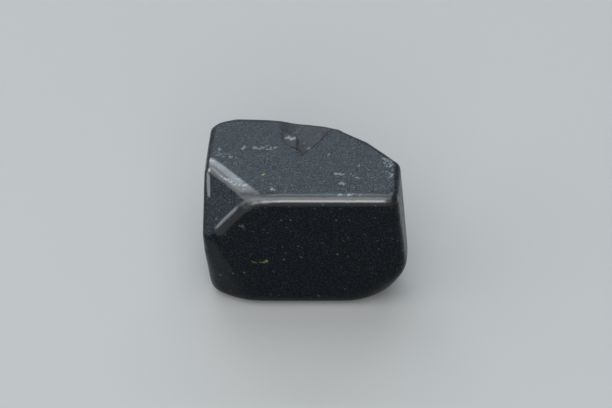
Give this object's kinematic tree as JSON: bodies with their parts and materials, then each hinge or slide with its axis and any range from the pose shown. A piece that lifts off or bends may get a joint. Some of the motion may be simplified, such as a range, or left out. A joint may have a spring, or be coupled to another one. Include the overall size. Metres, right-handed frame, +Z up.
{
  "type": "onyx stone",
  "caption": "Small tumbled black onyx stone: a blocky polished pebble with rounded edges, a cut corner and a chipped top, resting on a flat underside.",
  "frame": {"origin": "on the resting flat, under the middle of the stone's box", "axes": "+X along the stone's length, -Y out of the front flat below the long polished edge, +Z up"},
  "size_m": [0.024, 0.0164, 0.0165],
  "materials": {
    "polished_black_onyx": "tumble-polished, glossy on the rounded edges, with a fine grey haze of tiny pits on the flats"
  },
  "bodies": {
    "root": {"onyx_stone": "polished_black_onyx"}
  },
  "joints": []
}
